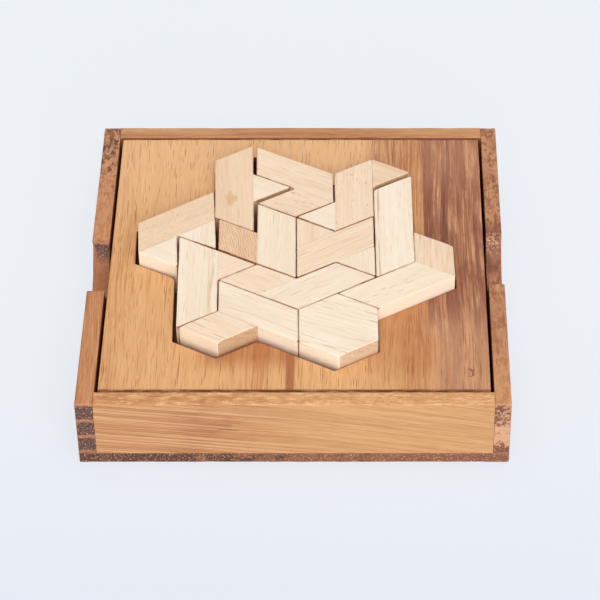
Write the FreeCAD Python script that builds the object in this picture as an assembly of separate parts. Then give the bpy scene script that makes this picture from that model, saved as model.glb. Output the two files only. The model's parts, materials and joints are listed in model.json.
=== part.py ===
import FreeCAD, Part
import math
import os

V = FreeCAD.Vector
os.makedirs("parts", exist_ok=True)

# ---------------------------------------------------------------- dimensions, mm
BOX_WIDTH = 130.0          # left to right
BOX_DEPTH = 131.2          # front to back
BASE_THICK = 4.0
RIM_Z = 24.5               # top of the walls above the ground
LEFT_WALL = 5.5            # wall thicknesses
RIGHT_WALL = 5.0
FRONT_WALL = 5.4
BACK_WALL = 5.1
WALL_ROUND = 0.6           # sanded outer arrises

# Finger notches: centre y, half width at the rim, depth, round of the outer lip
NOTCH_LEFT = (-3.7, 11.4, 9.7, 2.0)
NOTCH_RIGHT = (0.0, 12.0, 9.5, 0.8)

TRAY_GAP_SIDE = 1.0        # tray to left and right walls
TRAY_GAP_END = 0.3         # tray to front and back walls
TRAY_TOP = 24.1            # a little below the rim
FRAME_THICK = 7.0          # board with the cut-out
PLATE_THICK = 3.0          # thin board glued under it
RAIL_THICK = 5.0           # rails the tray stands on, front and back

SIDE = 14.22               # side of one triangle of the pattern
PATTERN_X = 0.5            # pattern corner (0, 0) in the box
PATTERN_Y = -14.8
PATTERN_TURN = 1.35        # the cut-out is sawn slightly out of square
PIECE_THICK = 12.0
FREE = 0.15                # a free sawn face stands this far inside its line
GLUED = 0.0
ARRIS = 0.3                # small round on the free edges of a piece

FLOOR_Z = TRAY_TOP - FRAME_THICK
PIECE_TOP = FLOOR_Z + PIECE_THICK

# The pattern counts half triangle heights to the right (i) and half sides to
# the back (j), so i + j is always even and every corner is a pair (i, j).
STEP_X = SIDE * math.sqrt(3) / 2
STEP_Y = SIDE / 2


def export(shape, name):
    shape.exportStep("parts/" + name + ".step")


def board(x0, x1, y0, y1, z0, z1):
    return Part.makeBox(x1 - x0, y1 - y0, z1 - z0, V(x0, y0, z0))


def turn(point, angle, centre=(0.0, 0.0)):
    a = math.radians(angle)
    dx = point[0] - centre[0]
    dy = point[1] - centre[1]
    x = centre[0] + dx * math.cos(a) - dy * math.sin(a)
    y = centre[1] + dx * math.sin(a) + dy * math.cos(a)
    return (x, y)


def in_box(point):
    x, y = turn(point, PATTERN_TURN)
    return (x + PATTERN_X, y + PATTERN_Y)


def inset(corners, cuts):
    """Move edge k (corner k to corner k + 1, counter-clockwise) inward by cuts[k]."""
    count = len(corners)
    lines = []
    for k in range(count):
        ax, ay = corners[k]
        bx, by = corners[(k + 1) % count]
        length = math.hypot(bx - ax, by - ay)
        ux = (bx - ax) / length
        uy = (by - ay) / length
        lines.append((ax - uy * cuts[k], ay + ux * cuts[k], ux, uy))
    result = []
    for k in range(count):
        ax, ay, ux, uy = lines[k - 1]
        bx, by, vx, vy = lines[k]
        t = ((bx - ax) * vy - (by - ay) * vx) / (ux * vy - uy * vx)
        result.append((ax + ux * t, ay + uy * t))
    return result


def prism(points, z0, z1):
    ring = [V(x, y, z0) for x, y in points]
    face = Part.Face(Part.makePolygon(ring + ring[:1]))
    return face.extrude(V(0, 0, z1 - z0))


def round_edges(solid, radius, wanted):
    edges = [edge for edge in solid.Edges if wanted(edge)]
    return solid.makeFillet(radius, edges)


def upright(edge):
    a = edge.Vertexes[0].Point
    b = edge.Vertexes[-1].Point
    return abs(a.x - b.x) < 1e-6 and abs(a.y - b.y) < 1e-6


# ---------------------------------------------------------------- box
X0 = -BOX_WIDTH / 2
X1 = BOX_WIDTH / 2
Y0 = -BOX_DEPTH / 2
Y1 = BOX_DEPTH / 2
IN_X0 = X0 + LEFT_WALL
IN_X1 = X1 - RIGHT_WALL
IN_Y0 = Y0 + FRONT_WALL
IN_Y1 = Y1 - BACK_WALL


def outer_line(edge):
    """Edges on the outside of the box: its upright corners and the ground line."""
    p = edge.CenterOfMass
    corner = abs(abs(p.x) - X1) < 1e-6 and abs(abs(p.y) - Y1) < 1e-6
    ground = p.z < 1e-6
    return corner or ground


base = board(X0, X1, Y0, Y1, 0.0, BASE_THICK)
base = round_edges(base, WALL_ROUND, outer_line)
export(base, "base_board")


def notch_cutter(outer_x, inner_x, notch):
    """Round cutter through a side wall, flared so that it rounds the outer lip."""
    y, half, depth, lip = notch
    radius = (half ** 2 + depth ** 2) / (2 * depth)
    axis_z = RIM_Z - depth + radius
    into = 1 if inner_x > outer_x else -1

    def at(inward, r):
        return V(outer_x + into * inward, y, axis_z + r)

    through = abs(inner_x - outer_x) + 1
    soft = lip * (1 - math.sqrt(0.5))
    flare = Part.Arc(at(0, radius + lip), at(soft, radius + soft), at(lip, radius)).toShape()
    rest = [at(lip, radius), at(through, radius), at(through, 0), at(-1, 0)]
    rest += [at(-1, radius + lip), at(0, radius + lip)]
    profile = Part.Wire([flare] + Part.makePolygon(rest).Edges)
    return Part.Face(profile).revolve(V(0, y, axis_z), V(1, 0, 0), 360)


def side_wall(outer_x, inner_x, notch):
    wall = board(min(outer_x, inner_x), max(outer_x, inner_x), Y0, Y1, BASE_THICK, RIM_Z)

    def outside(edge):
        p = edge.CenterOfMass
        corner = upright(edge) and abs(p.x - outer_x) < 1e-6
        rim = abs(p.x - outer_x) < 1e-6 and abs(p.z - RIM_Z) < 1e-6
        return corner or rim

    wall = round_edges(wall, WALL_ROUND, outside)
    return wall.cut(notch_cutter(outer_x, inner_x, notch))


export(side_wall(X0, IN_X0, NOTCH_LEFT), "left_wall")
export(side_wall(X1, IN_X1, NOTCH_RIGHT), "right_wall")


def end_wall(y0, y1, outer_y):
    wall = board(IN_X0, IN_X1, y0, y1, BASE_THICK, RIM_Z)

    def rim(edge):
        p = edge.CenterOfMass
        return abs(p.y - outer_y) < 1e-6 and abs(p.z - RIM_Z) < 1e-6

    return round_edges(wall, WALL_ROUND, rim)


export(end_wall(Y0, IN_Y0, Y0), "front_wall")
export(end_wall(IN_Y1, Y1, Y1), "back_wall")

# Two rails glued to the base carry the tray along its front and back edges.
TRAY_UNDER = TRAY_TOP - FRAME_THICK - PLATE_THICK
export(board(IN_X0, IN_X1, IN_Y0, IN_Y0 + RAIL_THICK, BASE_THICK, TRAY_UNDER), "front_rail")
export(board(IN_X0, IN_X1, IN_Y1 - RAIL_THICK, IN_Y1, BASE_THICK, TRAY_UNDER), "back_rail")

# ---------------------------------------------------------------- tray
TRAY_X0 = IN_X0 + TRAY_GAP_SIDE
TRAY_X1 = IN_X1 - TRAY_GAP_SIDE
TRAY_Y0 = IN_Y0 + TRAY_GAP_END
TRAY_Y1 = IN_Y1 - TRAY_GAP_END

# Cut-out, counter-clockwise: corner, how far the edge after it is sawn outside
# the pattern line, and how much the saw rounds that corner.
CUTOUT = [
    ((-3, 1), 1.4, 2.4),
    ((-3, -3), 1.4, 0.8),
    ((-2, -4), 1.1, 0.6),
    ((-1, -3), 1.2, 2.0),
    ((1, -5), -0.2, 1.0),
    ((2, -4), 0.0, 0.5),
    ((2, -2), 0.0, 0.8),
    ((4, 0), 0.2, 0.4),
    ((4, 2), 0.5, 0.6),
    ((3, 3), 0.3, 0.8),
    ((3, 7), 0.9, 0.6),
    ((2, 8), 0.9, 0.6),
    ((1, 7), 0.9, 1.0),
    ((-1, 9), 2.2, 0.4),
    ((-2, 8), 1.9, 0.4),
    ((-2, 6), 1.7, 1.0),
    ((-4, 4), 1.7, 0.4),
    ((-4, 2), 1.1, 0.6),
]

corners = [(i * STEP_X, j * STEP_Y) for (i, j), over, radius in CUTOUT]
overs = [-over for corner, over, radius in CUTOUT]
outline = [in_box(p) for p in inset(corners, overs)]
hole = prism(outline, FLOOR_Z - 1, TRAY_TOP + 1)
for (x, y), (corner, over, radius) in zip(outline, CUTOUT):
    here = [e for e in hole.Edges if upright(e) and e.CenterOfMass.distanceToPoint(
        V(x, y, e.CenterOfMass.z)) < 0.01]
    hole = hole.makeFillet(radius, here)

frame = board(TRAY_X0, TRAY_X1, TRAY_Y0, TRAY_Y1, FLOOR_Z, TRAY_TOP)
frame = round_edges(frame, ARRIS, lambda e: e.CenterOfMass.z > TRAY_TOP - 1e-6)
export(frame.cut(hole), "tray_frame")
export(board(TRAY_X0, TRAY_X1, TRAY_Y0, TRAY_Y1, TRAY_UNDER, FLOOR_Z), "tray_base")

# ---------------------------------------------------------------- puzzle pieces
# Twelve pieces, each glued up from one to three blocks of the same board.
# Each piece: how it lies in its place (shift x, shift y, turn in degrees) and
# its blocks. A block lists its corners counter-clockwise and, for each edge
# starting at a corner, how far that sawn face stands inside the pattern line.
F = FREE
G = GLUED
PIECES = [
    ((-1.6, 1.4, 0.6), [
        ("yacht_hull_block", [(-2, 4), (-1, 3), (-1, 9), (-2, 8)], [F, G, F, F]),
        ("yacht_sail_block", [(-1, 5), (0, 6), (-1, 7)], [F, 0.3, G]),
    ]),
    ((-0.4, 0.9, -0.2), [
        ("hook_long_block", [(-1, 7), (1, 5), (1, 7), (-1, 9)], [G, F, 0.3, -0.1]),
        ("hook_rhombus_block", [(-1, 5), (0, 4), (1, 5), (0, 6)], [F, F, G, 0.3]),
    ]),
    ((-0.1, 0.6, -0.3), [
        ("crown_long_block", [(-1, 1), (0, 0), (0, 4), (-1, 5)], [-0.1, 0.3, F, G]),
        ("crown_rhombus_block", [(-2, 2), (-1, 1), (-1, 3), (-2, 4)], [-0.1, G, F, F]),
    ]),
    ((0.0, 0.9, -0.2), [
        ("snake_long_block", [(1, 3), (2, 4), (2, 8), (1, 7)], [F, F, F, G]),
        ("snake_back_tip", [(2, 6), (3, 7), (2, 8)], [0.3, F, G]),
        ("snake_front_tip", [(1, 3), (1, 5), (0, 4)], [G, F, F]),
    ]),
    ((0.0, -0.2, -0.4), [
        ("bar_block", [(2, 0), (3, 1), (3, 7), (2, 6)], [0.3, F, 0.6, 0.1]),
    ]),
    ((-0.2, 0.6, -0.3), [
        ("butterfly_middle_block", [(0, 0), (2, 2), (2, 4), (0, 2)], [G, 0.3, G, F]),
        ("butterfly_back_tip", [(0, 2), (1, 3), (0, 4)], [G, F, F]),
        ("butterfly_front_tip", [(2, 0), (2, 2), (1, 1)], [F, G, F]),
    ]),
    ((-0.2, 0.0, 0.1), [
        ("crook_long_block", [(2, -2), (4, 0), (3, 1), (1, -1)], [F, G, F, 0.35]),
        ("crook_rhombus_block", [(3, 1), (4, 0), (4, 2), (3, 3)], [G, F, F, F]),
    ]),
    ((0.0, 0.1, 0.5), [
        ("chevron_long_block", [(0, -2), (2, 0), (1, 1), (-1, -1)], [F, F, G, 0.3]),
        ("chevron_rhombus_block", [(-1, -1), (0, 0), (-1, 1), (-2, 0)], [G, F, F, 0.3]),
    ]),
    ((0.3, 0.2, 0.2), [
        ("signpost_long_block", [(-2, -2), (0, -4), (0, -2), (-2, 0)], [G, 0.25, 0.3, F]),
        ("signpost_rhombus_block", [(-2, -4), (-1, -3), (-2, -2), (-3, -3)], [F, G, F, F]),
    ]),
    ((0.0, 0.4, -0.3), [
        ("hexagon_block", [(0, -4), (1, -5), (2, -4), (2, -2), (1, -1), (0, -2)],
         [F, F, 0.3, 0.35, 0.3, 0.3]),
    ]),
    ((-0.1, -0.1, 0.1), [
        ("sphinx_long_block", [(-3, -3), (-2, -2), (-2, 2), (-3, 3)], [F, G, 0.45, F]),
        ("sphinx_tip", [(-2, 0), (-1, 1), (-2, 2)], [F, 0.4, G]),
    ]),
    ((-0.8, -0.3, 2.2), [
        ("lobster_long_block", [(-4, 2), (-2, 4), (-2, 6), (-4, 4)], [G, 0.3, F, F]),
        ("lobster_back_tip", [(-2, 2), (-2, 4), (-3, 3)], [0.3, G, 0.3]),
        ("lobster_front_tip", [(-3, 1), (-3, 3), (-4, 2)], [F, G, F]),
    ]),
]


def middle(blocks):
    seen = set()
    for name, corners, cuts in blocks:
        seen.update(corners)
    x = sum(i for i, j in seen) * STEP_X / len(seen)
    y = sum(j for i, j in seen) * STEP_Y / len(seen)
    return (x, y)


def make_block(corners, cuts, place, centre):
    shift_x, shift_y, angle = place
    flat = inset([(i * STEP_X, j * STEP_Y) for i, j in corners], cuts)
    points = []
    for p in flat:
        x, y = in_box(turn(p, angle, centre))
        points.append((x + shift_x, y + shift_y))
    solid = prism(points, FLOOR_Z, PIECE_TOP)
    count = len(points)
    free_edges = []
    for k in range(count):
        if cuts[k] == GLUED:
            continue
        a = points[k]
        b = points[(k + 1) % count]
        near = V((a[0] + b[0]) / 2, (a[1] + b[1]) / 2, 0)
        for edge in solid.Edges:
            c = edge.CenterOfMass
            flat_hit = abs(c.x - near.x) < 1e-4 and abs(c.y - near.y) < 1e-4
            corner_hit = abs(c.x - a[0]) < 1e-4 and abs(c.y - a[1]) < 1e-4
            if flat_hit or (corner_hit and cuts[k - 1] != GLUED):
                free_edges.append(edge)
    return solid.makeFillet(ARRIS, free_edges)


for place, blocks in PIECES:
    centre = middle(blocks)
    for name, corners, cuts in blocks:
        export(make_block(corners, cuts, place, centre), name)
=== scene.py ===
import bmesh
import bpy
import json
import math
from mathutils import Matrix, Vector, noise
from mathutils.geometry import tessellate_polygon

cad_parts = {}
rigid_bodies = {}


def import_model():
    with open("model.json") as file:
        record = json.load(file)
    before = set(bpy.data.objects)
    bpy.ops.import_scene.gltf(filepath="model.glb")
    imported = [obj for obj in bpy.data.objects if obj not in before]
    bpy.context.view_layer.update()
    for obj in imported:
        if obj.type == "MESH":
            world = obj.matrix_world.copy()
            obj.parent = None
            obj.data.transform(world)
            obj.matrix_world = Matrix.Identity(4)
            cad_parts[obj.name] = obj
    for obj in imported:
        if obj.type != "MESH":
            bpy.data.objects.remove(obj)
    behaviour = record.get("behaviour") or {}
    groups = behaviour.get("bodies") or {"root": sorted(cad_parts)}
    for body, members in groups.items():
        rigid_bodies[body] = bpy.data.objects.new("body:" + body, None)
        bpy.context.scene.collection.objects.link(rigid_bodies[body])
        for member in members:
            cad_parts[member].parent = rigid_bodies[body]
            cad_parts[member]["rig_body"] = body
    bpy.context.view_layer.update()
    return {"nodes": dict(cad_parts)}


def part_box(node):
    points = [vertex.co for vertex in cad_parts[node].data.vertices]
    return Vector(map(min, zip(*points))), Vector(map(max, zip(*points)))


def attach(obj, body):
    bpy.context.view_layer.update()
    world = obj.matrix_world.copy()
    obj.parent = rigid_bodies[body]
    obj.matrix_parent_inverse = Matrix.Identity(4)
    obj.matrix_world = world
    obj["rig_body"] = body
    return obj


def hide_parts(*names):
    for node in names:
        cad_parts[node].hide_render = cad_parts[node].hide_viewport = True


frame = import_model()

# Lengths are millimetres, which the meshes scale to metres. The studio at the end is in metres.
MM = 0.001

# ---------------------------------------------------------------- shape
STEP = 0.5                 # spacing of the points round an outline
SHOULDER = 0.35            # flat ring kept beside a rounded edge
BLOCK_ROUND = 0.13         # worn arris of a block's free edges
BLOCK_CORNER = 0.38        # its upright corners
SEAM_CORNER = 0.08         # an upright corner beside a glued seam
TOUCHING = 0.1             # nearer than this to another plan, a corner lies on their seam
GLUED = 0.09               # nearer than this, a side is glued and keeps its line
DIRT_AND_SHADE_REACH = 0.95         # a joint gets dirt and painted shade when another piece is nearer than this
DIRT_AND_SHADE_FADE = 0.3
SWELL = 0.12               # how far a free face may stand outside its line, so joints vary
KEEP_CLEAR = 0.06          # gap that always stays between two pieces
FREE = 9.0                 # an outline point that may move inward as far as it likes
SHARP = 0.6                # radians between faces from which an edge is shaded as a crease
BENDS = 4                  # steps round an arris
TRAY_ROUND = 0.28
TRAY_CORNER = 0.5          # the tray's upright outer corners
CUT_OUT_CORNER = 0.4       # and those of its cut-out
BARELY = 0.1               # an arris left as sawn
WALL_ROUND = 0.55          # outer arris of the box
WALL_INNER_ROUND = 0.3
BASE_ROUND = 0.5
RAIL_ROUND = 0.15
LIP_LEFT = 2.0             # outer lip of the left finger notch
LIP_RIGHT = 0.8


def wave(seed, x, y, z=0.0):
    """Smooth noise from 0 to 1."""
    return 0.5 + 0.5 * noise.noise(Vector((x + 17.3 * seed, y - 9.1 * seed, z + 5.7 * seed)))


def cad_faces(node):
    """The CAD node's faces as (normal, corners in mm, area in square mm)."""
    mesh = frame["nodes"][node].data
    for face in mesh.polygons:
        yield face.normal, [mesh.vertices[i].co / MM for i in face.vertices], face.area / MM ** 2


def block_corners(node):
    """The corners of a block's plan, counter-clockwise."""
    sides = []
    for normal, points, area in cad_faces(node):
        if abs(normal.z) > 0.02:
            continue
        turn = math.atan2(normal.y, normal.x)
        reach = normal.x * points[0].x + normal.y * points[0].y
        for side in sides:
            if abs(math.sin((turn - side[0]) / 2)) < 0.02 and abs(reach - side[1]) < 0.03:
                side[2] += area
                break
        else:
            sides.append([turn, reach, area])
    sides = sorted(side for side in sides if side[2] > 40)
    corners = []
    for k, (turn, reach, area) in enumerate(sides):
        before = sides[k - 1]
        cross = math.sin(turn - before[0])
        x = (before[1] * math.sin(turn) - reach * math.sin(before[0])) / cross
        y = (reach * math.cos(before[0]) - before[1] * math.cos(turn)) / cross
        corners.append(Vector((x, y)))
    return corners


def distance_to(point, plans):
    """How far a point is from the nearest side of some plans, in mm."""
    best = 99.0
    for plan in plans:
        for a, b in zip(plan, plan[1:] + plan[:1]):
            t = max(0.0, min(1.0, (point - a).dot(b - a) / (b - a).length_squared))
            best = min(best, (point - a - (b - a) * t).length)
    return best


def rectangle(low, high, a, b):
    """The outline of a box across two of its axes, counter-clockwise, in mm."""
    return [Vector((low[a], low[b])) / MM, Vector((high[a], low[b])) / MM,
            Vector((high[a], high[b])) / MM, Vector((low[a], high[b])) / MM]


def flat_loops(node, axis, value):
    """Boundary loops of the CAD faces that lie flat at that value of an axis, largest first."""
    others = [a for a in range(3) if a != axis]
    ways = {}
    for normal, points, area in cad_faces(node):
        if abs(normal[axis]) < 0.999 or abs(points[0][axis] - value) > 0.02:
            continue
        ring = [(round(p[others[0]], 2), round(p[others[1]], 2)) for p in points]
        for a, b in zip(ring, ring[1:] + ring[:1]):
            ways[(a, b)] = ways.get((a, b), 0) + 1
    after = {a: b for (a, b) in ways if (b, a) not in ways}
    loops = []
    while after:
        start = next(iter(after))
        loop = [start]
        here = after.pop(start)
        while here != start:
            loop.append(here)
            here = after.pop(here)
        loops.append([Vector(p) for p in loop])
    loops.sort(key=lambda loop: -abs(signed_area(loop)))
    return loops


def signed_area(loop):
    return 0.5 * sum(a.cross(b) for a, b in zip(loop, loop[1:] + loop[:1]))


def facing(loop, counter_clockwise):
    if (signed_area(loop) > 0) != counter_clockwise:
        loop = loop[::-1]
    return loop


def outline(corners, wears, radii):
    """Points round a polygon with rounded corners, the material on its left.

    Each is (point, outward normal, wear, how far it may move inward). wears[k] belongs
    to the edge from corner k to corner k + 1, radii[k] to corner k."""
    count = len(corners)
    edges = [(corners[(k + 1) % count] - corners[k]) for k in range(count)]
    ends = []
    for k in range(count):
        into = edges[k - 1].normalized()
        out = edges[k].normalized()
        turn = math.atan2(into.cross(out), into.dot(out))
        radius = min(radii[k], 0.45 * min(edges[k - 1].length, edges[k].length))
        if abs(turn) < math.radians(12):
            radius = 0.0
        ends.append((turn, radius, radius * math.tan(abs(turn) / 2)))
    samples = []
    for k in range(count):
        turn, radius, cut = ends[k]
        into = edges[k - 1].normalized()
        out = edges[k].normalized()
        normal = Vector((into.y, -into.x))
        start = corners[k] - into * cut
        wear = (wears[k - 1] + wears[k]) / 2
        side = 1 if turn > 0 else -1
        if radius == 0:
            mid = Vector((into.y + out.y, -into.x - out.x)).normalized()
            samples.append([corners[k], mid, wear, FREE])
        else:
            parts = 5 if radius > 0.2 else 3
            for m in range(parts + 1):
                a = turn * m / parts
                spun = Vector((normal.x * math.cos(a) - normal.y * math.sin(a),
                               normal.x * math.sin(a) + normal.y * math.cos(a)))
                point = start - side * radius * normal + side * radius * spun
                samples.append([point, spun, wear, radius if turn > 0 else FREE])
        following = ends[(k + 1) % count]
        begin = corners[k] + out * cut
        end = corners[(k + 1) % count] - out * following[2]
        length = (end - begin).length
        parts = max(2, round(length / STEP))
        out_normal = Vector((out.y, -out.x))
        for m in range(1, parts):
            s = length * m / parts
            room = FREE
            if turn > 0 and radius > 0:
                room = min(room, radius + s / math.tan(turn / 2))
            if following[0] > 0 and following[1] > 0:
                room = min(room, following[1] + (length - s) / math.tan(following[0] / 2))
            samples.append([begin + out * s, out_normal, wears[k], room])
    return samples


def softened(values, reach=2):
    """A moving average round the loop."""
    count = len(values)
    width = 2 * reach + 1
    return [sum(values[(k + d) % count] for d in range(-reach, reach + 1)) / width
            for k in range(count)]


def worn_piece(name, loops, low, high, place, low_round, high_round, seed, levels=3, rough=0.03,
               grime_and_shade=None):
    """A board or block between two flat faces whose arrises are rounded unevenly, as by hand.

    loops are outlines, the outer one first. place turns (a, b, c) into a point, where c
    runs from low to high. low_round and high_round give the arris at a point. levels is how
    many rings lie between the arrises and rough how far they wander inward. The last argument
    gives how much dirt a joint holds just outside a point, with painted shade for the gap,
    kept as the attribute "crevice"."""
    mesh = bmesh.new()
    crevice = mesh.verts.layers.float.new("crevice")
    rims = []
    for samples in loops:
        wear = [min(a, b) for a, b in zip(softened([s[2] for s in samples], 1),
                                          softened([s[2] for s in samples], 2))]
        raw_low = softened([low_round(s[0]) for s in samples], 3)
        raw_high = softened([high_round(s[0]) for s in samples], 3)
        # dirt, and painted shade for the gap, that each point's joint holds
        dirt_and_shade = softened([grime_and_shade(s[0] + s[1] * 0.7) * s[2] if grime_and_shade else 0.0 for s in samples], 1)
        rings = []

        def ring(inset, height, dirt_and_shade_share=1.0):
            """inset and height are lists, one value per sample."""
            row = []
            for s, d, h, soil_and_shade in zip(samples, inset, height, dirt_and_shade):
                p = s[0] - s[1] * min(d, s[3])
                vertex = mesh.verts.new(place(p.x, p.y, h))
                vertex[crevice] = soil_and_shade * dirt_and_shade_share
                row.append(vertex)
            rings.append(row)

        def arris(raw, salt):
            sizes = []
            for s, w, r in zip(samples, wear, raw):
                x, y = s[0]
                uneven = 0.55 + 0.8 * wave(seed + salt, x / 5, y / 5)
                nick = max(0.0, wave(seed + salt + 3, x / 1.3, y / 1.3) - 0.72) * 1.6
                sizes.append(w * (r * uneven + min(r, 0.3) * nick * 2))
            return sizes

        under = arris(raw_low, 0.0)
        over = arris(raw_high, 11.0)
        ring([r + SHOULDER for r in under], [low] * len(samples), 0.0)
        for m in range(BENDS + 1):
            a = math.pi / 2 * (1 - m / BENDS)
            ring([r * (1 - math.cos(a)) for r in under],
                 [low + r * (1 - math.sin(a)) for r in under])
        ring([0.0] * len(samples), [low + r + SHOULDER for r in under])
        for m in range(1, levels + 1):
            t = m / (levels + 1)
            heights = [low + u + (high - o - low - u) * t for u, o in zip(under, over)]
            insets = [rough * wave(seed + 5, s[0].x / 2.5, s[0].y / 2.5, h / 2.5) * w
                      for s, h, w in zip(samples, heights, wear)]
            ring(insets, heights)
        ring([0.0] * len(samples), [high - r - SHOULDER for r in over])
        for m in range(BENDS + 1):
            a = math.pi / 2 * m / BENDS
            ring([r * (1 - math.cos(a)) for r in over],
                 [high - r * (1 - math.sin(a)) for r in over], 1.0 - 0.6 * m / BENDS)
        ring([r + SHOULDER for r in over], [high] * len(samples), 0.0)
        count = len(samples)
        for lower, upper in zip(rings, rings[1:]):
            for k in range(count):
                n = (k + 1) % count
                mesh.faces.new((lower[k], lower[n], upper[n], upper[k]))
        rims.append((rings[0], rings[-1]))
    for which in (0, 1):
        if len(rims) == 1:
            mesh.faces.new(rims[0][which])
        else:
            rows = [rim[which] for rim in rims]
            verts = [v for row in rows for v in row]
            for triple in tessellate_polygon([[v.co for v in row] for row in rows]):
                mesh.faces.new([verts[i] for i in triple])
    bmesh.ops.remove_doubles(mesh, verts=mesh.verts, dist=0.002 * MM)
    bmesh.ops.recalc_face_normals(mesh, faces=mesh.faces)
    for face in mesh.faces:
        face.smooth = True
    for edge in mesh.edges:
        if len(edge.link_faces) == 2 and edge.calc_face_angle() > SHARP:
            edge.smooth = False
    data = bpy.data.meshes.new(name)
    mesh.to_mesh(data)
    mesh.free()
    piece = bpy.data.objects.new(name, data)
    bpy.context.scene.collection.objects.link(piece)
    return piece


def stand_in(piece, node, material):
    piece.data.materials.append(material)
    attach(piece, frame["nodes"][node]["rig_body"])
    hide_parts(node)


def upright_place(a, b, c):
    return Vector((a, b, c)) * MM


def side_place(a, b, c):
    return Vector((c, a, b)) * MM


def end_place(a, b, c):
    return Vector((a, c, b)) * MM


# ---------------------------------------------------------------- materials
def shade(red, green, blue):
    """A colour given as it looks on a screen, 0 to 255, as the linear colour a shader takes."""
    def linear(v):
        v /= 255
        return v / 12.92 if v <= 0.04045 else ((v + 0.055) / 1.055) ** 2.4
    return (linear(red), linear(green), linear(blue), 1.0)


class Graph:
    """Short calls for the shader nodes of one material."""

    def __init__(self, name):
        self.material = bpy.data.materials.new(name)
        self.material.use_nodes = True
        self.tree = self.material.node_tree
        self.tree.nodes.clear()
        self.bsdf = self.tree.nodes.new("ShaderNodeBsdfPrincipled")
        out = self.tree.nodes.new("ShaderNodeOutputMaterial")
        self.tree.links.new(self.bsdf.outputs["BSDF"], out.inputs["Surface"])

    def put(self, socket, value):
        if isinstance(value, bpy.types.NodeSocket):
            self.tree.links.new(value, socket)
        else:
            socket.default_value = value

    def math(self, operation, a, b=0.0, clamp=False):
        node = self.tree.nodes.new("ShaderNodeMath")
        node.operation = operation
        node.use_clamp = clamp
        self.put(node.inputs[0], a)
        self.put(node.inputs[1], b)
        return node.outputs[0]

    def times(self, a, b):
        return self.math("MULTIPLY", a, b)

    def plus(self, a, b):
        return self.math("ADD", a, b)

    def distance(self, a, b):
        """How far from an axis a point is whose offsets are a and b."""
        return self.math("SQRT", self.plus(self.times(a, a), self.times(b, b)))

    def vector(self, operation, a, b):
        node = self.tree.nodes.new("ShaderNodeVectorMath")
        node.operation = operation
        self.put(node.inputs[0], a)
        self.put(node.inputs[1], b)
        return node.outputs["Value" if operation == "DOT_PRODUCT" else "Vector"]

    def turned(self, vector, degrees):
        node = self.tree.nodes.new("ShaderNodeVectorRotate")
        node.rotation_type = "Z_AXIS"
        self.put(node.inputs["Vector"], vector)
        node.inputs["Angle"].default_value = math.radians(degrees)
        return node.outputs[0]

    def parts(self, vector):
        node = self.tree.nodes.new("ShaderNodeSeparateXYZ")
        self.put(node.inputs[0], vector)
        return node.outputs[0], node.outputs[1], node.outputs[2]

    def joined(self, x, y, z):
        node = self.tree.nodes.new("ShaderNodeCombineXYZ")
        for socket, value in zip(node.inputs, (x, y, z)):
            self.put(socket, value)
        return node.outputs[0]

    def noise(self, vector, scales, detail=2.0, rough=0.5):
        """Noise whose features are about as long as scales, in mm along each axis."""
        node = self.tree.nodes.new("ShaderNodeTexNoise")
        self.put(node.inputs["Vector"], self.vector("DIVIDE", vector, scales))
        node.inputs["Scale"].default_value = 1.0
        node.inputs["Detail"].default_value = detail
        node.inputs["Roughness"].default_value = rough
        return node.outputs["Fac"]

    def steps(self, value, low, high, to_low=0.0, to_high=1.0):
        """A smooth step of the value from low to high."""
        node = self.tree.nodes.new("ShaderNodeMapRange")
        node.interpolation_type = "SMOOTHSTEP"
        self.put(node.inputs["Value"], value)
        for name, number in (("From Min", low), ("From Max", high),
                             ("To Min", to_low), ("To Max", to_high)):
            self.put(node.inputs[name], number)
        return node.outputs[0]

    def between(self, value, low, full_low, full_high, high):
        """A smooth window: 1 from full_low to full_high, and 0 below low and above high."""
        return self.times(self.steps(value, low, full_low), self.steps(value, high, full_high))

    def mix(self, amount, a, b, blend="MIX"):
        node = self.tree.nodes.new("ShaderNodeMix")
        node.data_type = "RGBA"
        node.blend_type = blend
        self.put(node.inputs["Factor"], amount)
        colours = [s for s in node.inputs if s.type == "RGBA"]
        self.put(colours[0], a)
        self.put(colours[1], b)
        return [s for s in node.outputs if s.type == "RGBA"][0]

    def dashes(self, fibre, length, spacing, width):
        """Fine straight vessels along the fibres' x: 1 on a vessel, 0 beside it."""
        cell = self.tree.nodes.new("ShaderNodeTexVoronoi")
        squeezed = self.vector("DIVIDE", fibre, (length, spacing, spacing))
        self.put(cell.inputs["Vector"], squeezed)
        cell.inputs["Scale"].default_value = 1.0
        off = self.vector("SUBTRACT", squeezed, cell.outputs["Position"])
        along, across, up = self.parts(self.vector("MULTIPLY", off, (length, spacing, spacing)))
        aside = self.distance(across, up)
        thick = self.steps(self.math("ABSOLUTE", along), 0.5 * length, 0.1 * length, 0.0, width)
        line = self.steps(aside, thick, self.times(thick, 0.4))
        strength = self.parts(cell.outputs["Color"])[0]
        return self.times(line, self.steps(strength, 0.1, 0.9, 0.25, 1.0))

    def attribute(self, name):
        node = self.tree.nodes.new("ShaderNodeAttribute")
        node.attribute_name = name
        return node.outputs["Fac"]

    def bump(self, height, strength, distance):
        node = self.tree.nodes.new("ShaderNodeBump")
        node.inputs["Strength"].default_value = strength
        node.inputs["Distance"].default_value = distance
        self.put(node.inputs["Height"], height)
        return node.outputs[0]

    def point(self):
        """Object coordinates in mm."""
        node = self.tree.nodes.new("ShaderNodeTexCoord")
        return self.vector("MULTIPLY", node.outputs["Object"], (1000.0, 1000.0, 1000.0))

    def normal(self):
        """The object's own normal."""
        return self.tree.nodes.new("ShaderNodeTexCoord").outputs["Normal"]

    def end_grain(self, grain, low):
        """1 where the surface faces along the fibres, 0 where it is turned away."""
        direction = (math.cos(math.radians(grain)), math.sin(math.radians(grain)), 0.0)
        towards = self.math("ABSOLUTE", self.vector("DOT_PRODUCT", self.normal(), direction))
        return self.steps(towards, low, 0.95)

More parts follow.
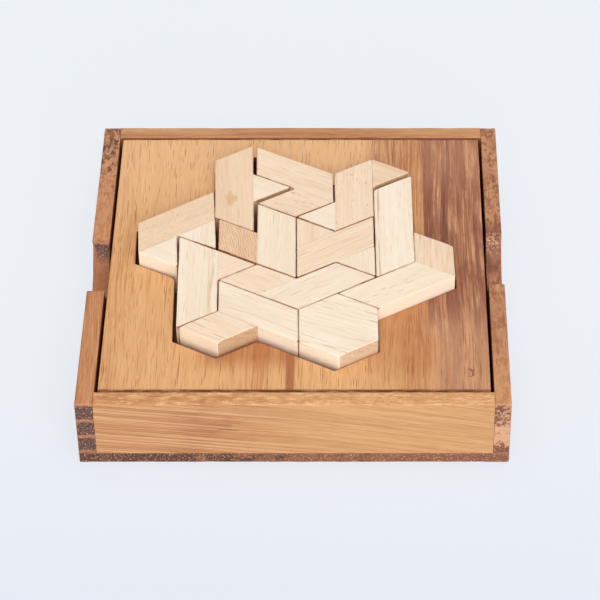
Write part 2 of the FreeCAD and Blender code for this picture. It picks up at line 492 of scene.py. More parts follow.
    def surface(self, colour, roughness, specular):
        self.put(self.bsdf.inputs["Base Color"], colour)
        self.put(self.bsdf.inputs["Roughness"], roughness)
        self.put(self.bsdf.inputs["Specular IOR Level"], specular)


# dirt, painted shade, painted light and end grain of the pale wood
PORE = (190, 144, 104)
# dirt on the joints' arrises, and painted shade: the warm brown inside the gaps between pieces
SOIL_AND_SHADE = (154, 82, 36)
# painted shade: the warm brown of the contact shade round a piece's foot
FOOT_SHADE = (192, 112, 56)
SIDE_LIGHT = (253, 240, 217)    # painted light: paler upright sides
FOOT_TOP = 25.6            # heights between which a piece is painted browner as shade, about where it stands out of the tray
FOOT_MIDDLE = 23.6         # stands out of the tray
FOOT_LOW = 8.0
END_PALE = (212, 180, 138)
END_DARK = (172, 130, 90)
PITH = (70.0, -30.0)       # middle of the growth rings, beside and below a block
GLOW_DEPTH = 0.0012        # light goes a little way into pale wood, metres


def pale_wood(name, grain, light, dark, offset, bands=0.5, pores=0.5, rings=0.2, ring_width=1.1,
              streaks=0.5, freckle=0.0, dash=8.0, foot=0.45, extra=None):
    """Sawn pale hardwood. grain is the fibres' direction in degrees in the plan."""
    g = Graph(name)
    point = g.point()
    local = g.turned(point, -grain)
    fibre = g.vector("ADD", local, (offset * 37.0, offset * 11.0, offset * 5.0))
    # the fibres run a little out of true
    drift = g.noise(fibre, (60.0, 25.0, 25.0), 0.0)
    fibre = g.vector("ADD", fibre, g.joined(0.0, g.times(drift, 3.0), 0.0))
    _, across, up = g.parts(fibre)
    end = g.end_grain(grain, 0.55)
    # growth rings round a pith outside the block
    aside = g.plus(across, PITH[0] - offset * 11.0)
    deep = g.math("SUBTRACT", up, PITH[1] + offset * 5.0)
    radius = g.distance(aside, deep)
    wander = g.noise(fibre, (30.0, 5.0, 5.0), 2.0)
    radius = g.plus(radius, g.times(wander, 3.0))
    saw = g.math("FRACT", g.math("DIVIDE", radius, ring_width))
    late = g.between(saw, 0.45, 0.85, 0.88, 1.0)
    late = g.times(late, g.steps(g.noise(fibre, (20.0, 1.6, 1.6), 2.0), 0.3, 0.6, 0.1, 1.0))
    broad = g.steps(g.noise(fibre, (55.0, 4.5, 4.5), 2.0), 0.34, 0.68)
    thin = g.steps(g.noise(fibre, (16.0, 0.8, 0.8), 2.0, 0.6), 0.5, 0.78)
    tone = g.plus(g.times(broad, bands), g.times(late, rings))
    tone = g.math("ADD", tone, g.times(thin, streaks), True)
    colour = g.mix(tone, shade(*light), shade(*dark))
    # fine fibres
    hair = g.noise(fibre, (6.0, 0.3, 0.3), 3.0, 0.65)
    colour = g.mix(g.steps(hair, 0.3, 0.75, 0.0, 0.22), colour, shade(*dark), "MULTIPLY")
    # vessels: short thin dashes, denser in some bands, dots on end grain
    vessel = g.dashes(fibre, dash, 0.6, 0.17)
    crowd = g.noise(fibre, (24.0, 2.0, 2.0), 1.0)
    vessel = g.times(vessel, g.steps(crowd, 0.36, 0.60, 0.15, 1.0))
    colour = g.mix(g.times(vessel, pores), colour, shade(*PORE))
    if freckle:
        spot = g.steps(g.noise(fibre, (1.1, 0.45, 0.45), 1.0), 0.55, 0.75)
        colour = g.mix(g.times(spot, freckle), colour, shade(*PORE))
    # end grain is darker and granular
    grit = g.noise(fibre, (0.5, 0.4, 0.4), 2.0, 0.7)
    rough_end = g.mix(g.steps(grit, 0.3, 0.7), shade(*END_PALE), shade(*END_DARK))
    band = g.steps(g.math("FRACT", g.math("DIVIDE", radius, 2.6)), 0.5, 0.95, 0.0, 0.45)
    rough_end = g.mix(band, rough_end, shade(*END_DARK))
    colour = g.mix(g.times(end, 0.85), colour, rough_end)
    if extra:
        colour = extra(g, point, colour)
    height_above = g.parts(point)[2]
    upright_face = g.steps(g.math("ABSOLUTE", g.parts(g.normal())[2]), 0.5, 0.2)
    # painted light: the upright sides are made paler, standing in for the light they catch, but
    # not where the grain ends
    side_light = g.steps(end, 0.0, 0.5, 0.45, 0.0)
    colour = g.mix(g.times(upright_face, side_light), colour, shade(*SIDE_LIGHT))
    # dirt and painted shade in the joints, and painted shade round the foot where a piece meets
    # the tray
    smudge = g.noise(point, (4.0, 4.0, 2.0), 2.0)
    soil_and_shade = g.times(g.attribute("crevice"), g.steps(smudge, 0.3, 0.6, 0.5, 0.95))
    soil_and_shade = g.times(soil_and_shade, g.steps(height_above, 27.9, 28.8, 0.12, 1.0))
    colour = g.mix(soil_and_shade, colour, shade(*SOIL_AND_SHADE))
    # painted shade: a warm brown band low on a piece's sides, standing in for the contact shade
    # where it stands in the tray
    ring = g.times(g.steps(height_above, FOOT_TOP, FOOT_MIDDLE),
                   g.steps(height_above, FOOT_LOW, FOOT_MIDDLE))
    ring = g.times(ring, g.steps(smudge, 0.25, 0.6, 0.7, 1.0))
    ring = g.times(g.times(upright_face, ring), foot)
    colour = g.mix(ring, colour, shade(*FOOT_SHADE))
    g.surface(colour, g.steps(hair, 0.2, 0.8, 0.55, 0.72), 0.25)
    g.bsdf.inputs["Subsurface Weight"].default_value = 0.35
    g.bsdf.inputs["Subsurface Radius"].default_value = (0.55, 0.6, 0.65)
    g.bsdf.inputs["Subsurface Scale"].default_value = GLOW_DEPTH
    height = g.math("SUBTRACT", g.times(hair, 0.6), vessel)
    height = g.plus(height, g.times(grit, g.times(end, 0.8)))
    g.put(g.bsdf.inputs["Normal"], g.bump(height, 0.35, 0.00012))
    return g.material


END_FLECK = (208, 160, 124)


def golden_wood(name, grain, light, dark, offset, bands=0.5, pores=0.6, streak=0.4, lean=0.0,
                end_light=(150, 96, 68), end_dark=(98, 60, 50), pore=(124, 64, 30),
                end_figure=None, extra=None):
    """Oiled golden-brown hardwood with open pores. grain is 0 along X or 90 along Y."""
    g = Graph(name)
    point = g.point()
    fibre = g.turned(point, -grain)
    if lean:
        slope = g.times(g.parts(fibre)[0], lean)
        fibre = g.vector("ADD", fibre, g.joined(0.0, 0.0, slope))
    fibre = g.vector("ADD", fibre, (offset * 61.0, offset * 23.0, offset * 7.0))
    end = g.end_grain(grain, 0.6)
    bend = g.times(g.noise(fibre, (70.0, 25.0, 25.0), 0.0), 4.0)
    # the fibres bend within the face that shows: the top of some boards, the side of others
    sway = (0.0, bend, 0.0) if grain == 90.0 else (0.0, 0.0, bend)
    fibre = g.vector("ADD", fibre, g.joined(*sway))
    broad = g.steps(g.noise(fibre, (80.0, 4.0, 4.0), 3.0, 0.55), 0.33, 0.7)
    colour = g.mix(g.times(broad, bands), shade(*light), shade(*dark))
    thin = g.steps(g.noise(fibre, (28.0, 0.8, 0.8), 3.0, 0.6), 0.45, 0.75)
    colour = g.mix(g.times(thin, streak), colour, shade(*dark))
    if extra:
        colour = extra(g, point, fibre, colour)
    hair = g.noise(fibre, (7.0, 0.3, 0.3), 3.0, 0.65)
    colour = g.mix(g.steps(hair, 0.3, 0.75, 0.0, 0.25), colour, shade(*dark), "MULTIPLY")
    vessel = g.math("MAXIMUM", g.dashes(fibre, 14.0, 0.6, 0.17), g.dashes(fibre, 6.0, 0.5, 0.15))
    crowd = g.noise(fibre, (26.0, 2.4, 2.4), 1.0)
    vessel = g.times(vessel, g.steps(crowd, 0.34, 0.56, 0.15, 1.0))
    colour = g.mix(g.times(vessel, pores), colour, shade(*pore))
    grit = g.noise(fibre, (0.6, 0.42, 0.42), 2.0, 0.7)
    cloud = g.steps(g.noise(point, (6.0, 6.0, 3.0), 3.0, 0.6), 0.42, 0.6)
    fleck = g.steps(grit, 0.57, 0.63)
    if end_figure:
        cloud = end_figure(g, point)
    rough_end = g.mix(cloud, shade(*end_dark), shade(*end_light))
    rough_end = g.mix(g.times(fleck, 0.75), rough_end, shade(*END_FLECK))
    colour = g.mix(end, colour, rough_end)
    g.surface(colour, g.steps(hair, 0.2, 0.8, 0.42, 0.6), 0.3)
    height = g.math("SUBTRACT", g.times(hair, 0.5), vessel)
    height = g.plus(height, g.times(grit, g.times(end, 0.9)))
    g.put(g.bsdf.inputs["Normal"], g.bump(height, 0.4, 0.00015))
    return g.material


# ---------------------------------------------------------------- blocks
PATTERN_TURN = 1.35        # how far the pattern is turned in the tray, degrees
ALONG = 90.0 + PATTERN_TURN        # directions of the pattern's strips in the plan
RISING = 30.0 + PATTERN_TURN
FALLING = -30.0 + PATTERN_TURN

CREAM = (245, 233, 216)
CREAM_DARK = (235, 212, 185)
BUTTER = (244, 229, 209)
PEACH = (242, 222, 198)
PEACH_DARK = (229, 198, 167)
SALMON = (238, 212, 184)
TAN = (236, 203, 171)
TAN_DARK = (204, 158, 120)


def knot(g, point, colour):
    """A small brown knot scar on the yacht's hull."""
    off = g.vector("MULTIPLY", g.vector("SUBTRACT", point, (-21.4, 23.6, 29.0)), (0.5, 0.32, 0.0))
    dx, dy, _ = g.parts(off)
    reach = g.distance(dx, dy)
    reach = g.plus(reach, g.times(g.noise(point, (1.8, 2.6, 2.0), 1.0, 0.5), 1.8))
    colour = g.mix(g.steps(reach, 2.4, 1.1, 0.0, 0.35), colour, shade(222, 184, 140))
    return g.mix(g.steps(reach, 2.3, 1.3, 0.0, 0.55), colour, shade(214, 170, 122))


def edge_streak(start, end, amount, tone):
    """Brown streaks in a strip that runs front to back, between two distances across."""
    def figure(g, point, colour):
        x, y, z = g.parts(point)
        across = g.plus(x, g.times(y, 0.0145))
        strip = g.between(across, start, start + 0.3, end - 0.3, end)
        broken = g.steps(g.noise(g.joined(across, y, z), (0.7, 14.0, 4.0), 3.0), 0.36, 0.56)
        strip = g.times(g.times(strip, broken), amount)
        return g.mix(strip, colour, shade(*tone))
    return figure


def ripple(g, point, colour):
    """Close wavy lines that run about front to back."""
    leant = g.turned(point, -101.0)
    across = g.parts(leant)[1]
    wobble = g.noise(leant, (3.0, 5.0, 4.0), 2.0, 0.6)
    phase = g.plus(g.math("DIVIDE", across, 0.8), g.times(wobble, 3.0))
    line = g.steps(g.math("ABSOLUTE", g.math("SUBTRACT", g.math("FRACT", phase), 0.5)), 0.25, 0.04)
    broken = g.steps(g.noise(leant, (3.0, 0.7, 2.0), 2.0, 0.6), 0.36, 0.62, 0.1, 0.75)
    return g.mix(g.times(line, broken), colour, shade(186, 136, 96))


# worn corners: (block, corner) and how much more the rim is rounded there
WORN_CORNERS = {
    ("signpost_rhombus_block", 1): 0.75,
    ("signpost_rhombus_block", 0): 0.6,
    ("bar_block", 0): 0.35,
    ("crook_rhombus_block", 3): 0.4,
    ("yacht_hull_block", 2): 0.4,
    ("hexagon_block", 2): 0.35,
    ("lobster_long_block", 3): 0.3,
    ("snake_long_block", 0): 0.3,
}
# corners rounded more than the others, seen from above
BLUNT = {("bar_block", 0): 1.0, ("crook_rhombus_block", 3): 0.9}

BAR_STREAK = edge_streak(25.6, 26.5, 0.85, (204, 156, 110))
SPHINX_STREAK = edge_streak(-27.6, -25.6, 0.5, (214, 172, 130))

# name: grain direction, light and dark tone, then what differs from plain wood
BLOCKS = {
    "yacht_hull_block": (ALONG, SALMON, PEACH_DARK, dict(bands=0.5, pores=0.3, extra=knot)),
    "yacht_sail_block": (FALLING, BUTTER, CREAM_DARK, dict(bands=0.3, pores=0.2)),
    "hook_long_block": (FALLING, PEACH, PEACH_DARK, dict(bands=0.4, pores=0.5, rings=0.4)),
    "hook_rhombus_block": (FALLING, PEACH, PEACH_DARK, dict(bands=0.4, pores=0.8, dash=2.5)),
    "crown_long_block": (ALONG, BUTTER, CREAM_DARK, dict(bands=0.4, pores=0.3)),
    "crown_rhombus_block": (97.0, TAN, TAN_DARK, dict(bands=0.2, pores=0.4, rings=0.0,
                                                      streaks=0.1, extra=ripple)),
    "snake_long_block": (ALONG, PEACH, PEACH_DARK, dict(bands=0.3, pores=0.6, dash=2.2)),
    "snake_back_tip": (FALLING, PEACH, PEACH_DARK, dict(bands=0.8, pores=0.2)),
    "snake_front_tip": (FALLING, CREAM, CREAM_DARK, dict(bands=0.4, pores=0.4)),
    "bar_block": (ALONG, CREAM, CREAM_DARK, dict(bands=0.3, pores=0.45, dash=5.0,
                                                 extra=BAR_STREAK)),
    "butterfly_middle_block": (RISING, PEACH, PEACH_DARK, dict(bands=0.3, pores=0.4, rings=0.6,
                                                               ring_width=0.95)),
    "butterfly_back_tip": (ALONG, PEACH, PEACH_DARK, dict(bands=0.5, pores=0.5)),
    "butterfly_front_tip": (ALONG, CREAM, CREAM_DARK, dict(bands=0.5, pores=0.5)),
    "crook_long_block": (RISING, BUTTER, CREAM_DARK, dict(bands=0.4, pores=0.65, dash=4.0,
                                                          foot=0.15)),
    "crook_rhombus_block": (ALONG, PEACH, PEACH_DARK, dict(bands=0.5, pores=0.7, rings=0.5)),
    "chevron_long_block": (RISING, CREAM, CREAM_DARK, dict(bands=0.4, pores=0.9)),
    "chevron_rhombus_block": (FALLING, PEACH, PEACH_DARK, dict(bands=0.3, pores=0.7)),
    "signpost_long_block": (FALLING, CREAM, CREAM_DARK, dict(bands=0.5, pores=0.6, rings=0.3)),
    "signpost_rhombus_block": (FALLING, PEACH, PEACH_DARK, dict(bands=0.3, pores=0.85, rings=0.4)),
    "hexagon_block": (-22.0, CREAM, CREAM_DARK, dict(bands=0.3, pores=0.9, rings=0.35)),
    "sphinx_long_block": (ALONG, CREAM, CREAM_DARK, dict(bands=0.4, pores=0.4,
                                                         extra=SPHINX_STREAK)),
    "sphinx_tip": (RISING, PEACH, PEACH_DARK, dict(bands=0.5, pores=0.3)),
    "lobster_long_block": (RISING, SALMON, PEACH_DARK, dict(bands=0.4, pores=0.3, freckle=0.35)),
    "lobster_back_tip": (ALONG, CREAM, CREAM_DARK, dict(bands=0.4, pores=0.5)),
    "lobster_front_tip": (FALLING, CREAM, CREAM_DARK, dict(bands=0.4, pores=0.6)),
}

plans = {node: block_corners(node) for node in BLOCKS}


def neighbours(node, same_piece):
    body = frame["nodes"][node]["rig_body"]
    return [plan for other, plan in plans.items()
            if other != node and (frame["nodes"][other]["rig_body"] == body) == same_piece]


def make_block(node, number, grain, light, dark, more):
    plan = plans[node]
    glued_to = neighbours(node, True)
    others = neighbours(node, False)
    low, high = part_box(node)
    radii = []
    for k, corner in enumerate(plan):
        at_seam = distance_to(corner, glued_to) < TOUCHING
        radii.append(SEAM_CORNER if at_seam else BLUNT.get((node, k), BLOCK_CORNER))
    samples = outline(plan, [1.0] * len(plan), radii)
    for sample in samples:
        if distance_to(sample[0], glued_to) < GLUED:
            sample[2] = 0.0
    for sample, free in zip(samples, softened([s[2] for s in samples], 1)):
        room = max(0.0, (distance_to(sample[0], others) - KEEP_CLEAR) / 2)
        swell = min(room, SWELL * wave(number + 20, sample[0].x / 14, sample[0].y / 14))
        sample[0] = sample[0] + sample[1] * swell * min(free, sample[2])

    def rim(p):
        size = BLOCK_ROUND
        for (where, k), extra in WORN_CORNERS.items():
            if where == node:
                nearness = max(0.0, 1.0 - (p - plan[k]).length / 1.6)
                size += extra * nearness * (0.5 + wave(number, p.x * 2, p.y * 2))
        return size

    def grime_and_shade(p):
        return min(1.0, max(0.0, (DIRT_AND_SHADE_REACH - distance_to(p, others)) / DIRT_AND_SHADE_FADE))

    block = worn_piece("worn_" + node, [samples], low.z / MM, high.z / MM, upright_place,
                       lambda p: BLOCK_ROUND, rim, number, grime_and_shade=grime_and_shade)
    stand_in(block, node, pale_wood("wood_" + node, grain, light, dark, number + 1, **more))


for number, (node, look) in enumerate(BLOCKS.items()):
    make_block(node, number, *look)

# ---------------------------------------------------------------- tray
low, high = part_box("tray_frame")
tray_corners = rectangle(low, high, 0, 1)
cut_out = facing(flat_loops("tray_frame", 2, high.z / MM)[1], False)
tray_loops = [outline(tray_corners, [1.0] * 4, [TRAY_CORNER] * 4),
              outline(cut_out, [1.0] * len(cut_out), [CUT_OUT_CORNER] * len(cut_out))]
tray = worn_piece("worn_tray_frame", tray_loops, low.z / MM, high.z / MM, upright_place,
                  lambda p: TRAY_ROUND, lambda p: TRAY_ROUND, 40)

GOLD = (226, 177, 124)
GOLD_DARK = (202, 142, 88)
PLATE = (150, 98, 64)
PLATE_DARK = (112, 68, 46)
EDGE_THREAD = (184, 122, 76)
BACK_TINT = (246, 202, 156)
ORANGE = (180, 116, 70)    # orange patches and streaks in the sapwood
ORANGE_PATCH = (190, 124, 72)
BROWN_BAR = (162, 98, 62)
VEIL = (180, 122, 84)      # the sapwood beside the heartwood
VEIL_EDGE = (182, 118, 74)
# painted shade: the dark of the gaps along the tray's front and back edges
RIM_SHADE = (104, 52, 28)
SAWN_AND_SHADE = (132, 68, 30)       # walls of the cut-out, with painted shade deeper down
KNOT_HALO = (206, 152, 108)
KNOT_RING = (100, 54, 38)
HEART = (190, 132, 99)
HEART_PALE = (222, 168, 124)
HEART_DARK = (126, 76, 58)
HEART_THREAD = (112, 64, 48)
HEART_FRONT = (216, 164, 124)
HEART_BACK = (204, 150, 118)


def tray_figure(g, point, fibre, colour):
    """Sapwood with a few orange streaks, and heartwood along the right-hand side."""
    x, y, z = g.parts(point)
    streaks = g.noise(fibre, (34.0, 1.5, 1.5), 3.0, 0.6)
    # brown threads along the left edge
    left = g.steps(g.noise(fibre, (40.0, 0.7, 0.7), 4.0, 0.7), 0.44, 0.6)
    left = g.times(g.steps(x, -50.5, -55.0), left)
    colour = g.mix(g.times(left, 0.6), colour, shade(*EDGE_THREAD))
    # paler towards the back
    colour = g.mix(g.steps(y, 0.0, 50.0, 0.0, 0.45), colour, shade(*BACK_TINT))
    # orange patches in front of the pieces, and a brown streak
    near = g.between(x, -32.0, -25.0, -1.0, 3.0)
    near = g.times(g.times(near, g.steps(y, -53.0, -43.0)), g.steps(y, -20.0, -34.0))
    beside = g.times(g.steps(x, 20.0, 26.0), g.steps(y, -58.0, -44.0, 0.2, 0.6))
    beside = g.times(beside, g.steps(y, -8.0, -20.0))
    orange_tint = g.math("MAXIMUM", near, beside)
    orange_tint = g.times(orange_tint, g.steps(streaks, 0.3, 0.6, 0.6, 1.0))
    colour = g.mix(orange_tint, colour, shade(*ORANGE))
    front = g.steps(y, -38.0, -50.0)
    patch = g.between(x, -22.0, -13.0, -10.0, -5.0)
    patch = g.times(g.times(patch, front), g.steps(streaks, 0.38, 0.62))
    colour = g.mix(g.times(patch, 0.7), colour, shade(*ORANGE_PATCH))
    bar = g.between(x, -3.0, -1.9, -0.2, 0.6)
    bar = g.times(bar, g.steps(y, -36.0, -46.0, 0.0, 0.85))
    colour = g.mix(bar, colour, shade(*BROWN_BAR))
    # brownish veil at the back, just before the heartwood
    thread = g.steps(g.noise(fibre, (22.0, 0.6, 0.6), 4.0, 0.7), 0.45, 0.59)
    veil = g.times(g.steps(x, 20.0, 27.5), g.steps(y, 30.0, 50.0))
    veil = g.times(veil, g.steps(thread, 0.0, 1.0, 0.45, 0.95))
    colour = g.mix(veil, colour, shade(*VEIL))
    amber = g.times(g.steps(x, 28.0, 38.0), g.steps(streaks, 0.3, 0.6, 0.5, 1.0))
    amber = g.times(amber, g.steps(thread, 0.0, 1.0, 0.4, 0.95))
    colour = g.mix(amber, colour, shade(*VEIL_EDGE))
    # heartwood, its edge further right towards the front
    sway = g.noise(point, (1.6, 40.0, 20.0), 4.0, 0.75)
    sway = g.times(g.math("SUBTRACT", sway, 0.5), g.steps(y, -20.0, -36.0, 9.0, 22.0))
    inward = g.math("SUBTRACT", g.plus(x, sway), g.steps(y, -22.0, -50.0, 40.0, 46.5))
    veins = g.noise(fibre, (24.0, 1.1, 1.1), 4.0, 0.7)
    heart = g.mix(g.steps(veins, 0.48, 0.6, 0.0, 0.95), shade(*HEART), shade(*HEART_PALE))
    heart = g.mix(g.times(thread, 0.65), heart, shade(*HEART_DARK))
    clouds = g.noise(point, (6.0, 16.0, 8.0), 3.0, 0.6)
    heart = g.mix(g.steps(clouds, 0.48, 0.66, 0.0, 0.5), heart, shade(*HEART_DARK))
    bands = g.noise(fibre, (60.0, 3.0, 3.0), 3.0, 0.6)
    heart = g.mix(g.steps(bands, 0.5, 0.62, 0.0, 0.75), heart, shade(*HEART_DARK))
    threads = g.noise(fibre, (70.0, 1.6, 1.6), 3.0, 0.65)
    heart = g.mix(g.steps(threads, 0.53, 0.6, 0.0, 0.7), heart, shade(*HEART_THREAD))
    seam = g.between(inward, -0.6, 1.0, 1.8, 4.5)
    seam = g.times(seam, g.steps(y, -38.0, -24.0, 0.15, 0.8))
    heart = g.mix(seam, heart, shade(*HEART_DARK))
    heart = g.mix(g.steps(y, -14.0, -40.0, 0.0, 0.55), heart, shade(*HEART_FRONT))
    heart = g.mix(g.steps(y, 24.0, 46.0, 0.0, 0.35), heart, shade(*HEART_BACK))
    middle = g.between(y, -34.0, -16.0, 6.0, 26.0)
    heart = g.mix(g.times(middle, 0.18), heart, shade(*HEART_DARK))
    colour = g.mix(g.steps(inward, g.steps(y, -34.0, -20.0, -4.0, -1.4), 1.2), colour, heart)
    # painted shade: a dark line along the front and back edges, for the shade in the gaps to the
    # walls
    rim = g.math("MAXIMUM", g.steps(y, -58.3, -59.1), g.steps(y, 59.2, 59.7))
    smear = g.noise(point, (5.0, 1.5, 1.5), 2.0)
    rim = g.times(rim, g.steps(smear, 0.3, 0.6, 0.6, 1.0))
    colour = g.mix(rim, colour, shade(*RIM_SHADE))
    # the sawn walls are browner, and painted shade makes them darkest deep in the cut-out
    upright_face = g.steps(g.math("ABSOLUTE", g.parts(g.normal())[2]), 0.8, 0.4)
    sawn_and_shade = g.times(upright_face, g.steps(z, 24.0, 21.5, 0.35, 0.85))
    colour = g.mix(sawn_and_shade, colour, shade(*SAWN_AND_SHADE))
    # a small knot near the front right corner
    off = g.vector("SUBTRACT", point, (53.0, -51.5, 24.0))
    off = g.vector("MULTIPLY", off, (1.0, 0.6, 0.0))
    dx, dy, _ = g.parts(off)
    reach = g.distance(dx, dy)
    reach = g.plus(reach, g.times(g.noise(point, (1.1, 1.8, 1.5), 3.0), 2.8))
    colour = g.mix(g.steps(reach, 5.0, 3.4, 0.0, 0.6), colour, shade(*KNOT_HALO))
    ring = g.between(reach, 1.9, 2.2, 2.4, 2.9)
    ring = g.times(ring, g.steps(dx, -1.2, 1.0, 0.15, 0.9))
    return g.mix(g.times(ring, 0.85), colour, shade(*KNOT_RING))


stand_in(tray, "tray_frame",
         golden_wood("wood_tray_frame", 90.0, GOLD, GOLD_DARK, 1, bands=0.25, pore=(146, 82, 40),
                     pores=0.7, streak=0.3, extra=tray_figure))

low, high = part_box("tray_base")
plate = worn_piece("worn_tray_base", [outline(tray_corners, [1.0] * 4, [TRAY_CORNER] * 4)],
                   low.z / MM, high.z / MM, upright_place, lambda p: TRAY_ROUND,
                   lambda p: 0.08, 41, levels=1)
stand_in(plate, "tray_base", golden_wood("wood_tray_base", 0.0, PLATE, PLATE_DARK, 2))

# ---------------------------------------------------------------- box
WALNUT = (190, 132, 96)
WALNUT_DARK = (132, 84, 66)
AMBER = (208, 150, 104)
AMBER_DARK = (170, 108, 68)
RUSSET = (196, 138, 98)
RUSSET_DARK = (150, 96, 68)
HONEY = (208, 160, 108)
HONEY_DARK = (180, 126, 80)
BACK = (216, 164, 118)
BACK_DARK = (176, 118, 76)
INSIDE_SHADE = (134, 70, 32)     # painted shade on the inner faces, below the rim
RIM_TOP = 24.5             # heights over which they turn browner
RIM_FOOT = 23.5


def mottle(g, point, colour, amount, pale=(214, 160, 120), deep=(102, 60, 48)):
    """Blotchy wavy figure, across the fibres."""
    lumps = g.noise(point, (1.8, 3.4, 2.6), 3.0, 0.6)
    clouds = g.noise(point, (5.0, 9.0, 6.0), 2.0)
    fleck = g.steps(g.noise(point, (0.8, 1.9, 1.2), 2.0, 0.6), 0.5, 0.62)
    body = g.mix(g.steps(lumps, 0.42, 0.58, 0.0, 0.8), shade(*deep), shade(*pale))
    body = g.mix(g.times(fleck, 0.7), body, shade(*pale))
    amount = g.times(amount, g.steps(g.parts(g.normal())[2], 0.3, 0.8, 0.3, 1.0))
    amount = g.times(amount, g.steps(clouds, 0.3, 0.62, 0.45, 1.0))
    return g.mix(amount, colour, body)


def shaded_inside(g, point, colour, towards):
    """The inner face of a wall, painted browner below the rim as shade in the gap beside the tray.
    towards is the way it faces.
    """
    facing_in = g.vector("DOT_PRODUCT", g.normal(), towards)
    inside = g.times(g.steps(facing_in, 0.5, 0.8), g.steps(g.parts(point)[2], RIM_TOP, RIM_FOOT))
    return g.mix(g.times(inside, 0.6), colour, shade(*INSIDE_SHADE))


def banded_end(g, point):
    """Pale bands between dark ones, up the end of a board."""
    step = g.math("FRACT", g.math("DIVIDE", g.plus(g.parts(point)[2], 1.8), 6.6))
    wavy = g.plus(step, g.times(g.noise(point, (1.5, 1.5, 1.5), 2.0), 0.2))
    return g.math("MAXIMUM", g.steps(wavy, 0.2, 0.08), g.steps(wavy, 0.9, 1.02))


def pale_middle_end(g, point):
    """Speckled, pale in the middle of its height and dark at the foot."""
    wander = g.times(g.noise(point, (2.5, 2.5, 2.5), 2.0), 3.0)
    z = g.plus(g.parts(point)[2], wander)
    speck = g.noise(point, (1.0, 1.0, 0.9), 3.0, 0.7)
    speck = g.plus(speck, g.steps(z, 18.5, 15.5, -0.04, 0.16))
    speck = g.math("SUBTRACT", speck, g.steps(z, 11.0, 7.5, 0.0, 0.28))
    return g.steps(speck, 0.42, 0.6)


def darker_left_end(g, point):
    """Cloudy, darker towards the left."""
    cloud = g.noise(point, (6.0, 6.0, 3.0), 3.0, 0.6)
    cloud = g.plus(cloud, g.steps(g.parts(point)[0], -45.0, 15.0, -0.1, 0.14))
    return g.steps(cloud, 0.42, 0.6)


def left_figure(g, point, fibre, colour):
    """Mottled at the back and beside the notch, plain at the front."""
    y = g.parts(point)[1]
    back = g.steps(y, 28.0, 44.0, 0.25, 0.95)
    beside_notch = g.times(g.steps(y, 8.0, 12.0), g.steps(y, 26.0, 16.0, 0.0, 0.25))
    notch = g.times(g.steps(y, 4.0, 8.0), g.steps(y, 14.0, 10.0, 0.0, 0.6))
    behind = g.times(g.steps(y, 10.0, 14.0), back)
    amount = g.math("MAXIMUM", g.math("MAXIMUM", behind, notch), beside_notch)
    fine = g.steps(g.noise(fibre, (26.0, 0.5, 0.5), 4.0, 0.7), 0.44, 0.6)
    colour = g.mix(g.times(fine, 0.45), colour, shade(166, 104, 64))
    colour = g.mix(g.steps(y, -6.0, 6.0, 0.0, 0.6), colour, shade(212, 152, 106))
    colour = mottle(g, point, colour, amount)
    ruddy = g.between(y, -6.0, 2.0, 6.0, 10.0)
    colour = g.mix(g.times(ruddy, 0.6), colour, shade(158, 92, 56))
    return shaded_inside(g, point, colour, (1.0, 0.0, 0.0))


def right_figure(g, point, fibre, colour):
    """Mottled, with a dark patch towards the back of the notch, and paler at the front."""
    y = g.parts(point)[1]
    dark = g.between(y, 0.0, 5.0, 13.0, 20.0)
    dark = g.times(dark, g.steps(g.parts(g.normal())[2], 0.2, 0.7, 0.1, 1.0))
    amount = g.math("ADD", g.steps(y, -40.0, 0.0, 0.45, 0.85), g.times(dark, 0.4), True)
    colour = g.mix(g.steps(y, -30.0, -56.0, 0.0, 0.7), colour, shade(222, 164, 112))
    colour = mottle(g, point, colour, amount, (212, 156, 116), (146, 92, 66))
    colour = g.mix(g.times(dark, 0.6), colour, shade(112, 64, 50))
    return shaded_inside(g, point, colour, (-1.0, 0.0, 0.0))


def front_figure(g, point, fibre, colour):
    """Silky bands, browner towards the left, with a short scratch."""
    x, _, z = g.parts(point)
    haze = g.steps(g.noise(point, (10.0, 9.0, 5.0), 3.0, 0.6), 0.38, 0.6)
    patch = g.steps(g.math("ABSOLUTE", g.plus(x, 26.0)), 17.0, 3.0)
    patch = g.times(g.times(haze, patch), 0.8)
    colour = g.mix(patch, colour, shade(146, 90, 60))
    colour = g.mix(g.steps(x, 14.0, -30.0, 0.0, 0.7), colour, shade(178, 120, 80))
    band = g.steps(g.noise(fibre, (90.0, 1.5, 1.3), 3.0, 0.6), 0.42, 0.6)
    colour = g.mix(g.times(band, 0.35), colour, shade(178, 122, 76))
    silk = g.steps(g.noise(fibre, (110.0, 0.6, 0.5), 4.0, 0.7), 0.48, 0.6)
    silk = g.times(silk, g.steps(x, 10.0, -30.0, 0.25, 0.5))
    colour = g.mix(silk, colour, shade(236, 192, 142))
    slant = g.times(g.plus(x, 20.0), 0.07)
    scratch = g.plus(g.math("SUBTRACT", z, 14.0), slant)
    scratch = g.times(g.steps(g.math("ABSOLUTE", scratch), 0.3, 0.1),
                      g.steps(g.math("ABSOLUTE", g.plus(x, 19.5)), 4.0, 2.0, 0.0, 0.7))
    colour = g.mix(scratch, colour, shade(120, 68, 48))
    # the rim is paler, with orange blotches towards the left
    rim = g.steps(g.parts(g.normal())[2], 0.5, 0.9)
    blotch = g.steps(g.noise(point, (5.0, 2.0, 3.0), 4.0, 0.65), 0.4, 0.62)
    blotch = g.times(blotch, g.steps(x, 20.0, -40.0, 0.35, 0.9))
    grain = g.steps(g.noise(point, (2.4, 0.6, 1.0), 3.0, 0.7), 0.42, 0.58)
    pale = g.mix(g.times(grain, 0.8), shade(240, 192, 138), shade(200, 142, 92))
    pale = g.mix(blotch, pale, shade(192, 130, 82))
    colour = g.mix(g.times(rim, 0.8), colour, pale)
    return shaded_inside(g, point, colour, (0.0, 1.0, 0.0))


def back_figure(g, point, fibre, colour):
    return shaded_inside(g, point, colour, (0.0, -1.0, 0.0))


